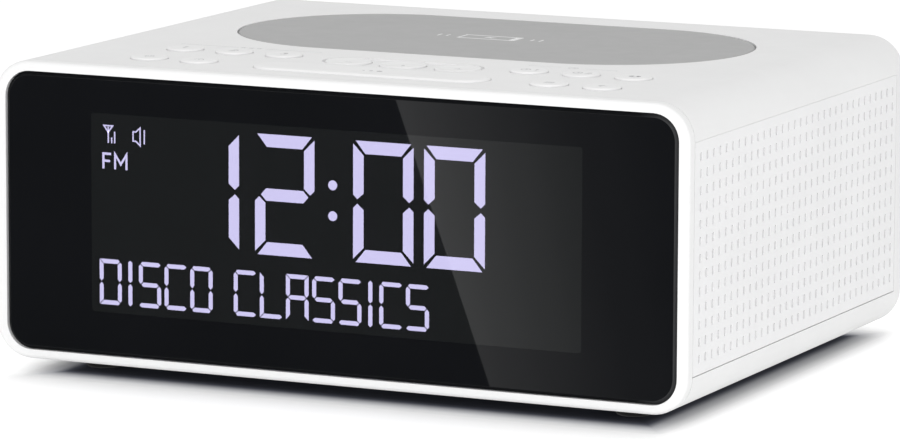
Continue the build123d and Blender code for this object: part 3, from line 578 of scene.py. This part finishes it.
# The row of small signs at the top left of the display: an aerial with two bars, a loudspeaker and the band.
SIGN_LINE = 0.37
BAND_LINE = 0.62
aerial_x, aerial_top, aerial_low = -67.5, 67.7, 63.1
speaker_x, speaker_z = -60.1, 65.3
band_x, band_low, band_high = -69.0, 56.2, 60.2
sign_shapes = [
    stroke(
        [(aerial_x - 1.3, aerial_top), (aerial_x + 1.3, aerial_top), (aerial_x, aerial_top - 1.7)], SIGN_LINE, True
    ),
    stroke([(aerial_x, aerial_top - 0.3), (aerial_x, aerial_low)], SIGN_LINE),
    stroke([(aerial_x + 1.0, aerial_low + 1.5), (aerial_x + 1.0, aerial_low)], SIGN_LINE),
    stroke([(aerial_x + 1.9, aerial_low + 3.1), (aerial_x + 1.9, aerial_low)], SIGN_LINE),
    stroke(
        [
            (speaker_x, speaker_z - 1.25), (speaker_x, speaker_z + 1.25), (speaker_x + 0.85, speaker_z + 1.25),
            (speaker_x + 2.1, speaker_z + 2.35), (speaker_x + 2.1, speaker_z - 2.35),
            (speaker_x + 0.85, speaker_z - 1.25),
        ],
        SIGN_LINE,
        True,
    ),
    stroke([(speaker_x + 3.35, speaker_z + 1.9), (speaker_x + 3.35, speaker_z - 1.9)], SIGN_LINE),
    stroke([(band_x, band_low), (band_x, band_high), (band_x + 2.3, band_high)], BAND_LINE),
    stroke([(band_x + 0.31, band_low + 2.1), (band_x + 2.0, band_low + 2.1)], BAND_LINE),
    stroke(
        [
            (band_x + 3.5, band_low), (band_x + 3.5, band_high), (band_x + 5.2, band_low + 1.4),
            (band_x + 6.9, band_high), (band_x + 6.9, band_low),
        ],
        BAND_LINE,
    ),
]
raised("display_signs", sign_shapes, on_glass, SEGMENT_THICK, SEGMENT_LIGHT, "radio")

# ---- acoustic cloth between each grille and its speaker
CLOTH_THICK = 0.05
CLOTH_BEHIND = 0.02
CLOTH_MARGIN = 1.0
CLOTH_CORNER = 3.0


def rounded_sheet(low, high, corner):
    """An upright rectangle with round corners, from its low to its high corner."""
    points = []
    for x, y, start in (
        (high[0] - corner, high[1] - corner, 0), (low[0] + corner, high[1] - corner, 90),
        (low[0] + corner, low[1] + corner, 180), (high[0] - corner, low[1] + corner, 270),
    ):
        points += arc((x, y), corner, start, start + 90, 6)
    return outline(points)


for side, face in (("left", 1), ("right", -1)):
    grille = "grille_" + side
    grille_low, grille_high = low_mm(grille), high_mm(grille)
    inner_x = grille_high.x if side == "left" else grille_low.x
    sheet = rounded_sheet(
        (grille_low.y + CLOTH_MARGIN, grille_low.z + CLOTH_MARGIN),
        (grille_high.y - CLOTH_MARGIN, grille_high.z - CLOTH_MARGIN),
        CLOTH_CORNER,
    )
    raised(
        "speaker_cloth_" + side,
        [sheet],
        lambda u, v, h, x=inner_x, f=face: Vector((x + f * (CLOTH_BEHIND + h), u, v)),
        CLOTH_THICK,
        MATERIALS["speaker_cloth"],
        "radio",
    )

# ---- printed marks on the buttons
INK_THICK = 0.02


def numeral(figure, size):
    """A plain stroked numeral, centred on the origin."""
    w, h = size * 0.3, size * 0.5
    line = size * 0.14
    if figure == "1":
        return [stroke([(-w * 0.6, h * 0.5), (0, h), (0, -h)], line)]
    if figure == "2":
        return [stroke(arc((0, h - w), w, 160, -40, 10) + [(-w, -h), (w, -h)], line)]
    upper = arc((0, h - w * 0.9), w * 0.9, 150, -80, 9)
    return [stroke(upper + arc((0, -h + w), w, 80, -150, 10), line)]


def clock_face(radius):
    return [
        stroke(arc((0, 0), radius, 0, 345, 23), 0.22, True),
        stroke([(0, radius * 0.6), (0, 0), (radius * 0.5, 0)], 0.2),
    ]


PRESET_FIGURE = 2.6
ALARM_FIGURE = 2.0
MARK_LINE = 0.26


def marks_for(name):
    """The pictogram on each button, in its own coordinates."""
    if name.startswith("preset_"):
        return numeral(name.split("_")[1], PRESET_FIGURE)
    if name.startswith("alarm_"):
        figure = [shifted(shape, 2.1, 0) for shape in numeral(name.split("_")[1], ALARM_FIGURE)]
        return [shifted(shape, -1.0, 0) for shape in clock_face(1.25)] + figure
    pictograms = {
        "power_button": [
            stroke(arc((0, 0), 1.2, 60, -240, 18), MARK_LINE), stroke([(0, 1.7), (0, 0.3)], MARK_LINE),
        ],
        "mode_button": [stroke(arc((0, 0), 1.2, 200, -20, 14), 0.24), disc((0, -0.1), 0.3)],
        "sleep_button": [outline(arc((0, 0), 1.35, 60, -240, 18) + arc((0.75, 0.35), 1.05, -215, 35, 12))],
        "menu_button": [stroke([(-1.3, v), (1.3, v)], MARK_LINE) for v in (-0.8, 0, 0.8)],
        "back_button": [
            stroke([(0.2, 1.1), (-1.0, 0), (0.2, -1.1)], MARK_LINE), stroke([(-0.8, 0), (1.4, 0)], MARK_LINE),
        ],
        "down_button": [stroke([(-1.3, 0), (1.3, 0)], 0.3)],
        "up_button": [stroke([(-1.3, 0), (1.3, 0)], 0.3), stroke([(0, 1.3), (0, 0.15)], 0.3)],
        "select_button": [stroke(arc((0, 0), 1.4, 0, 345, 23), MARK_LINE, True), disc((0, 0), 0.5)],
        "snooze_bar": [disc((x, 0), r) for x, r in ((-2.2, 0.35), (0, 0.55), (2.4, 0.8))],
    }
    return pictograms[name]


# How far the middle of a dished cap lies below its rim.
PICTOGRAM_DISH = 0.4
DISHED_CAPS = ("down_button", "select_button", "up_button")
for body_name, nodes_here in frame["record"]["behaviour"]["bodies"].items():
    caps = [n for n in nodes_here if n.endswith("_button") or n == "snooze_bar"]
    if body_name == "radio" or not caps:
        continue
    cap = caps[0]
    middle = middle_mm(cap)
    level = high_mm(cap).z - (PICTOGRAM_DISH if cap in DISHED_CAPS else 0)
    shapes = [shifted(shape, middle.x, middle.y) for shape in marks_for(cap)]
    raised(cap + "_mark", shapes, on_level(level), INK_THICK, PRINT_GREY, body_name)

# ---- printed marks on the deck and the pad
PRESET_MIDDLE = middle_mm("preset_2_button")
ALARM_LEFT = middle_mm("alarm_1_button")
ALARM_RIGHT = middle_mm("alarm_2_button")
BRACKET_BACK = 10.2
BRACKET_LINE = 0.2


def bracket(middle, reach, gap, back):
    """A line over a group of buttons, broken for its sign. Reach and gap are half its length and half the break."""
    return [
        stroke([(middle - reach, back - 0.7), (middle - reach, back), (middle - gap, back)], BRACKET_LINE),
        stroke([(middle + gap, back), (middle + reach, back), (middle + reach, back - 0.7)], BRACKET_LINE),
    ]


def star(centre, radius):
    """A five-pointed star."""
    points = []
    for i in range(10):
        reach = radius if i % 2 == 0 else radius * 0.42
        turn = math.radians(90 + 36 * i)
        points.append((centre[0] + reach * math.cos(turn), centre[1] + reach * math.sin(turn)))
    return outline(points)


preset_back = PRESET_MIDDLE.y + BRACKET_BACK
alarm_back = ALARM_LEFT.y + BRACKET_BACK + 1.6
alarm_middle_x = (ALARM_LEFT.x + ALARM_RIGHT.x) / 2
deck_shapes = bracket(PRESET_MIDDLE.x, 21, 4, preset_back)
deck_shapes += [star((PRESET_MIDDLE.x + x, preset_back), 1.1) for x in (-2.4, 0, 2.4)]
deck_shapes += bracket(alarm_middle_x, 12.5, 3.4, alarm_back)
deck_shapes += [shifted(shape, alarm_middle_x, alarm_back) for shape in clock_face(1.3)]
raised("deck_marks", deck_shapes, on_level(DECK_Z), INK_THICK, PRINT_FAINT, "radio")

PHONE_LENGTH = 16.6
PHONE_WIDTH = 6.4
PHONE_LINE = 0.6
WAVE_REACH = (12.7, 15.3)
WAVE_HALF_DEG = 6
WAVE_LINE = 0.5
pad_x, pad_y = PAD_MIDDLE.x - 1.7, PAD_MIDDLE.y + 1.0
phone_left, phone_right = pad_x - PHONE_LENGTH / 2, pad_x + PHONE_LENGTH / 2
phone_front, phone_back = pad_y - PHONE_WIDTH / 2, pad_y + PHONE_WIDTH / 2
phone_corners = [
    (phone_left, phone_front), (phone_right, phone_front), (phone_right, phone_back), (phone_left, phone_back),
]
# The sign: a phone with a small bolt and a filled end, between two waves on either side.
pad_shapes = [
    stroke(phone_corners, PHONE_LINE, True),
    outline([
        (pad_x - 1.8, pad_y - 0.3), (pad_x + 0.4, pad_y - 0.3), (pad_x + 0.4, pad_y - 1.3),
        (pad_x + 2.0, pad_y + 0.3), (pad_x - 0.2, pad_y + 0.3), (pad_x - 0.2, pad_y + 1.3),
    ]),
    outline([
        (phone_right - 1.6, phone_front + 0.5), (phone_right - 0.5, phone_front + 0.5),
        (phone_right - 0.5, phone_back - 0.5), (phone_right - 1.6, phone_back - 0.5),
    ]),
]
for reach in WAVE_REACH:
    for middle_deg in (0, 180):
        wave = arc((pad_x, pad_y), reach, middle_deg - WAVE_HALF_DEG, middle_deg + WAVE_HALF_DEG, 8)
        pad_shapes.append(stroke(wave, WAVE_LINE))
raised("pad_marks", pad_shapes, on_level(high_mm("charging_pad").z), INK_THICK, PRINT_LIGHT, "radio")

# ---- studio: floor, world, lamp and reflection cards


def plain_mesh_object(name, corners, faces):
    mesh = bpy.data.meshes.new(name)
    mesh.from_pydata([tuple(c) for c in corners], [], faces)
    made = bpy.data.objects.new(name, mesh)
    bpy.context.scene.collection.objects.link(made)
    return made


FLOOR_REACH = 8.0
floor_corners = [(x * FLOOR_REACH, y * FLOOR_REACH, 0) for x, y in ((-1, -1), (1, -1), (1, 1), (-1, 1))]
floor = plain_mesh_object("floor", floor_corners, [(0, 1, 2, 3)])
floor_painted_shadow_and_glow, floor_tree, floor_shader = new_material("floor_painted_shadow_and_glow")
FOOTPRINT_X, FOOTPRINT_Y = high_mm("housing").x, -low_mm("front_bezel").y


def stepped(tree, value, stops, tint=(0, 0, 0)):
    """A smooth curve over a distance: stops are (distance in mm, value). The dark ones may lean to a tint."""
    start, end = stops[0][0], stops[-1][0]
    ramp = node(tree, "ShaderNodeValToRGB", Fac=ranged(tree, value, start, end, 0, 1))
    ramp.color_ramp.interpolation = "CARDINAL"
    while len(ramp.color_ramp.elements) < len(stops):
        ramp.color_ramp.elements.new(0.5)
    for element, (at, level) in zip(ramp.color_ramp.elements, stops):
        element.position = (at - start) / (end - start)
        lean = (1 - level) ** 2
        element.color = (*[level * (1 + lean * channel) for channel in tint], 1)
    return ramp.outputs["Color"]


floor_axes = node(floor_tree, "ShaderNodeSeparateXYZ", Vector=place_in(floor_tree))
# The floor as it looks round the radio, with a painted contact shadow and a painted glow: how much it reflects,
# darker near the footprint, and how much it glows, at each distance in mm outside the footprint. The footprint is
# drawn in at the sides, where the painted shadow is also steeper, and out at the rear.
PAINTED_SHADOW_TINT = (-0.06, 0.0, 0.26)
PAINTED_SHADOW_STEPS = ((-13, 0.065), (-9, 0.09), (-6.5, 0.21), (-4, 0.575), (0, 0.78), (4, 0.95), (7, 1.0))
PAINTED_GLOW_STEPS = ((3, 0.0), (9, 0.13), (14, 0.21), (22, 0.26), (60, 0.16), (150, 0.08))
SIDE_INSET = 8.2
LEFT_INSET = 12.2
SIDE_STEEPER = 1.3
REAR_EXTRA = 1.5
shadow_middle_x, shadow_half_x = (LEFT_INSET - SIDE_INSET) / 2, FOOTPRINT_X - (SIDE_INSET + LEFT_INSET) / 2
shadow_middle_y, shadow_half_y = REAR_EXTRA / 2, FOOTPRINT_Y + REAR_EXTRA / 2
out_x = one_math(floor_tree, "SUBTRACT", floor_axes.outputs["X"], shadow_middle_x * MM)
out_x = one_math(floor_tree, "SUBTRACT", one_math(floor_tree, "ABSOLUTE", out_x), shadow_half_x * MM)
out_x = one_math(floor_tree, "MULTIPLY", out_x, SIDE_STEEPER)
out_y = one_math(floor_tree, "SUBTRACT", floor_axes.outputs["Y"], shadow_middle_y * MM)
out_y = one_math(floor_tree, "SUBTRACT", one_math(floor_tree, "ABSOLUTE", out_y), shadow_half_y * MM)
clear_of = clear_of_corner(floor_tree, out_x, out_y)
# Painted contact shadow: the floor's colour darkens towards the footprint and leans cool where it is darkest.
painted_shadow = stepped(floor_tree, clear_of, PAINTED_SHADOW_STEPS, PAINTED_SHADOW_TINT)
floor_tree.links.new(painted_shadow, floor_shader.inputs["Base Color"])
# Painted glow: the floor's emission is none at the footprint, strongest about 22 mm out and fainter farther away.
lit = stepped(floor_tree, clear_of, PAINTED_GLOW_STEPS)
floor_tree.links.new(lit, floor_shader.inputs["Emission Color"])
floor_shader.inputs["Emission Strength"].default_value = 1.0
floor.visible_glossy = False
floor_shader.inputs["Roughness"].default_value = 1
floor_shader.inputs["Specular IOR Level"].default_value = 0
floor.data.materials.append(floor_painted_shadow_and_glow)

WORLD_STRENGTH = 0.93
world = bpy.data.worlds.new("studio_world")
world.use_nodes = True
background = world.node_tree.nodes["Background"]
background.inputs["Color"].default_value = (1, 1, 1, 1)
background.inputs["Strength"].default_value = WORLD_STRENGTH
bpy.context.scene.world = world

CAMERA_YAW = math.radians(24.965)
CAMERA_PITCH = math.radians(9.09)
CAMERA_ROLL = math.radians(0.223)
CAMERA_DISTANCE = 1.5515
CAMERA_TARGET = Vector((0.00118, -0.007, 0.03798))
CAMERA_LENS_MM = 229.75
SENSOR_MM = 36
CLIP_START = 0.05


def heading(yaw, pitch):
    """The direction that looks at the front from yaw to its right and pitch above it."""
    return Vector((-math.sin(yaw) * math.cos(pitch), math.cos(yaw) * math.cos(pitch), -math.sin(pitch)))


forward = heading(CAMERA_YAW, CAMERA_PITCH)
level_right = Vector((math.cos(CAMERA_YAW), math.sin(CAMERA_YAW), 0))
level_up = level_right.cross(forward)
rolled_right = level_right * math.cos(CAMERA_ROLL) + level_up * math.sin(CAMERA_ROLL)
rolled_up = -level_right * math.sin(CAMERA_ROLL) + level_up * math.cos(CAMERA_ROLL)
camera_place = CAMERA_TARGET - forward * CAMERA_DISTANCE
camera_data = bpy.data.cameras.new("camera")
camera_data.lens = CAMERA_LENS_MM
camera_data.sensor_width = SENSOR_MM
camera_data.clip_start = CLIP_START
camera = bpy.data.objects.new("camera", camera_data)
turn = Matrix((rolled_right, rolled_up, -forward)).transposed().to_4x4()
camera.matrix_world = Matrix.Translation(camera_place) @ turn
bpy.context.scene.collection.objects.link(camera)
bpy.context.scene.camera = camera

LAMP_DISTANCE = 1.2
LAMP_YAW = math.radians(20)
LAMP_PITCH = math.radians(14)
LAMP_SIZE = 0.6
LAMP_WATTS = 5.7
lamp_data = bpy.data.lights.new("front_softbox", "AREA")
lamp_data.shape = "SQUARE"
lamp_data.size = LAMP_SIZE
lamp_data.energy = LAMP_WATTS
lamp = bpy.data.objects.new("front_softbox", lamp_data)
towards = heading(LAMP_YAW, LAMP_PITCH)
lamp_turn = towards.to_track_quat("-Z", "Y").to_matrix().to_4x4()
lamp.matrix_world = Matrix.Translation(CAMERA_TARGET - towards * LAMP_DISTANCE) @ lamp_turn
bpy.context.scene.collection.objects.link(lamp)

# Cards that only the lens's gloss sees: a dark one, and in front of it a bright one that fades to the right,
# whose slanting edge falls across the display.
CARD_AWAY = 0.35
EDGE_TOP_MM = (18.2, 80.6)
EDGE_LOW_MM = (45.4, 7.2)
FADE_SLANT = 0.6
FADE_LEVEL_MM = 72.0
# Light along the bright card: (place across the lens at FADE_LEVEL_MM, in mm, light).
LIGHT_STEPS = (
    (18, 0.75), (25, 0.64), (34, 0.49), (45, 0.345), (57, 0.215), (68.5, 0.105), (80, 0.06), (92, 0.005),
)
slope = (EDGE_LOW_MM[0] - EDGE_TOP_MM[0]) / (EDGE_LOW_MM[1] - EDGE_TOP_MM[1])
mirror_y = LENS_LOW.y * MM
mirror_eye = Vector((camera_place.x, 2 * mirror_y - camera_place.y, camera_place.z))


def mirrored(x_mm, z_mm, away):
    """The place, away in front of the lens, that the camera sees mirrored at this point of the lens."""
    spot = Vector((x_mm * MM, mirror_y, z_mm * MM))
    grow = (mirror_eye.y - (mirror_y - away)) / (mirror_eye.y - mirror_y)
    return mirror_eye + (spot - mirror_eye) * grow


def card(name, corners, light_steps=()):
    """A card seen only in reflections: black, or lit in steps of (places from left to right on the lens, light)."""
    made = plain_mesh_object(name, corners, [tuple(range(len(corners)))])
    paint, tree, shader = new_material(name + "_paint")
    tree.nodes.remove(shader)
    glow = tree.nodes.new("ShaderNodeEmission")
    tree.links.new(glow.outputs[0], surface_of(tree))
    glow.inputs["Strength"].default_value = 1.0 if light_steps else 0.0
    if light_steps:
        axes = node(tree, "ShaderNodeSeparateXYZ", Vector=place_in(tree))
        lean = one_math(tree, "MULTIPLY", axes.outputs["Z"], -FADE_SLANT * slope)
        along = one_math(tree, "ADD", axes.outputs["X"], lean)
        stops = []
        for x_mm, light in light_steps:
            spot = mirrored(x_mm, FADE_LEVEL_MM, CARD_AWAY)
            stops.append(((spot.x - FADE_SLANT * slope * spot.z) / MM, light))
        tree.links.new(stepped(tree, along, stops), glow.inputs["Color"])
    made.data.materials.append(paint)
    made.visible_camera = False
    made.visible_diffuse = False
    made.visible_transmission = False
    made.visible_shadow = False
    return made


DARK_REACH_X, BRIGHT_REACH_X, UNDER_Z, OVER_Z = 104, 102, -12, 100
dark_places = ((-DARK_REACH_X, UNDER_Z), (DARK_REACH_X, UNDER_Z), (DARK_REACH_X, OVER_Z), (-DARK_REACH_X, OVER_Z))
card("dark_card", [mirrored(x, z, CARD_AWAY + 0.01) for x, z in dark_places])
under_edge_x, over_edge_x = (EDGE_LOW_MM[0] + slope * (z - EDGE_LOW_MM[1]) for z in (UNDER_Z, OVER_Z))
bright_places = (
    (under_edge_x, UNDER_Z), (BRIGHT_REACH_X, UNDER_Z), (BRIGHT_REACH_X, OVER_Z), (over_edge_x, OVER_Z),
)
card("bright_card", [mirrored(x, z, CARD_AWAY) for x, z in bright_places], LIGHT_STEPS)

bpy.context.scene.view_settings.view_transform = "Standard"
